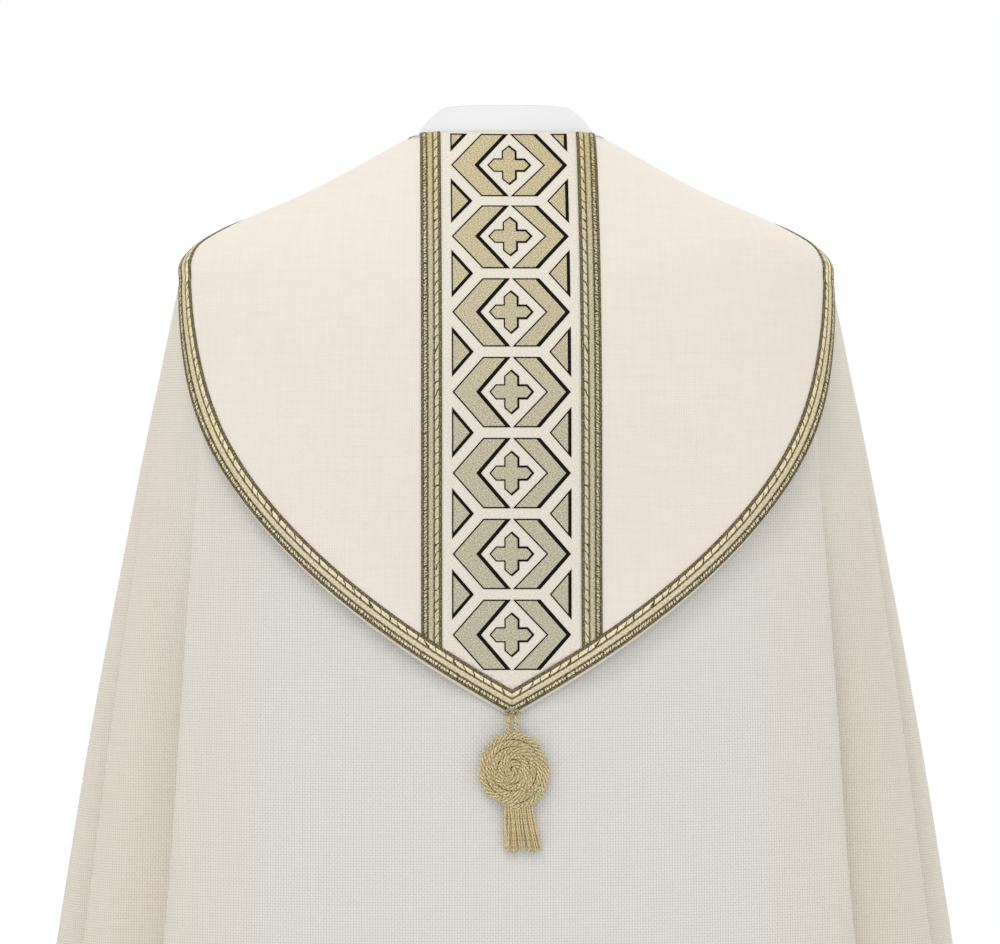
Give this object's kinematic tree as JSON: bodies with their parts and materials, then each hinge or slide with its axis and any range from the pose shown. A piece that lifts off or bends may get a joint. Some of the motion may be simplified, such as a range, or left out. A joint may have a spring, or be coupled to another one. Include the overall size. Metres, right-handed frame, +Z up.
{
  "type": "liturgical cope with shield hood",
  "caption": "Floor-length liturgical cope: open-fronted ivory mantle with a shield-shaped hood, brocade bands, galloon borders, tassel, stand collar and a hook clasp.",
  "frame": {"origin": "centre of the neck at the height of the back neckline, where the garment hangs from the wearer's neck and shoulders", "axes": "+Z up along the wearer's spine, -Y the way the wearer faces, so the hood hangs on the +Y side; +X is the wearer's left"},
  "size_m": [0.9292, 0.5012, 1.4802],
  "materials": {
    "mantle_cloth": "plain woven ivory cloth, matte",
    "hood_cloth": "plain woven ivory cloth, matte",
    "lining": "ivory sateen lining, soft sheen",
    "canvas": "natural canvas interfacing, matte",
    "brocade": "ivory and pale gold brocade with dark outlines",
    "galloon": "woven metallic-thread braid, soft lustre",
    "collar_linen": "white linen, matte",
    "gold_thread": "twisted gold cord, soft lustre",
    "gilt_metal": "polished gilt brass"
  },
  "bodies": {
    "mantle": {"mantle_back": "mantle_cloth", "mantle_left_front": "mantle_cloth", "mantle_right_front": "mantle_cloth", "hood_yoke_lining": "lining", "hood_yoke_shell": "hood_cloth", "hood_yoke_orphrey": "brocade", "hood_yoke_galloon_left": "galloon", "hood_yoke_galloon_right": "galloon", "hood_yoke_border_left": "galloon", "hood_yoke_border_right": "galloon", "front_galloon_left_inner": "galloon", "front_orphrey_left": "brocade", "front_galloon_left_outer": "galloon", "front_galloon_right_inner": "galloon", "front_orphrey_right": "brocade", "front_galloon_right_outer": "galloon", "front_facing_left": "lining", "front_facing_right": "lining", "hem_facing": "lining", "neckband": "hood_cloth", "white_collar": "collar_linen", "clasp_plate_left": "gilt_metal", "clasp_plate_right": "gilt_metal", "clasp_pivot_pin": "gilt_metal", "clasp_stud": "gilt_metal"},
    "hood_flap": {"hood_flap_lining": "lining", "hood_flap_stiffener": "canvas", "hood_flap_shell": "hood_cloth", "hood_flap_orphrey": "brocade", "hood_flap_galloon_left": "galloon", "hood_flap_galloon_right": "galloon", "hood_flap_border_left": "galloon", "hood_flap_border_right": "galloon"},
    "tassel_knot": {"tassel_knot": "gold_thread"},
    "tassel": {"tassel_cord_left": "gold_thread", "tassel_cord_right": "gold_thread", "tassel_medallion": "gold_thread", "tassel_backing": "canvas", "fringe_heading": "gold_thread", "tassel_fringe": "gold_thread"},
    "clasp_hook": {"clasp_hook": "gilt_metal"}
  },
  "joints": [
    {"name": "hood_flap_lift", "type": "hinge", "parent": "mantle", "child": "hood_flap", "pos_m": [0, 0.149, -0.3], "axis": [1, 0, 0], "range_deg": [0, 35]},
    {"name": "tassel_hang", "type": "hinge", "parent": "hood_flap", "child": "tassel_knot", "pos_m": [0, 0.158, -0.49], "axis": [1, 0, 0], "range_deg": [-35, 0]},
    {"name": "tassel_sway", "type": "hinge", "parent": "tassel_knot", "child": "tassel", "pos_m": [0, 0.158, -0.49], "axis": [0, 1, 0], "range_deg": [-30, 30]},
    {"name": "clasp_hook_lift", "type": "hinge", "parent": "mantle", "child": "clasp_hook", "pos_m": [0.0333, -0.12085, -0.17], "axis": [0, 0.9833, -0.1821], "range_deg": [0, 75]}
  ],
  "couplings": [
    {"joint": "tassel_hang", "follows": "hood_flap_lift", "ratio": -1}
  ]
}
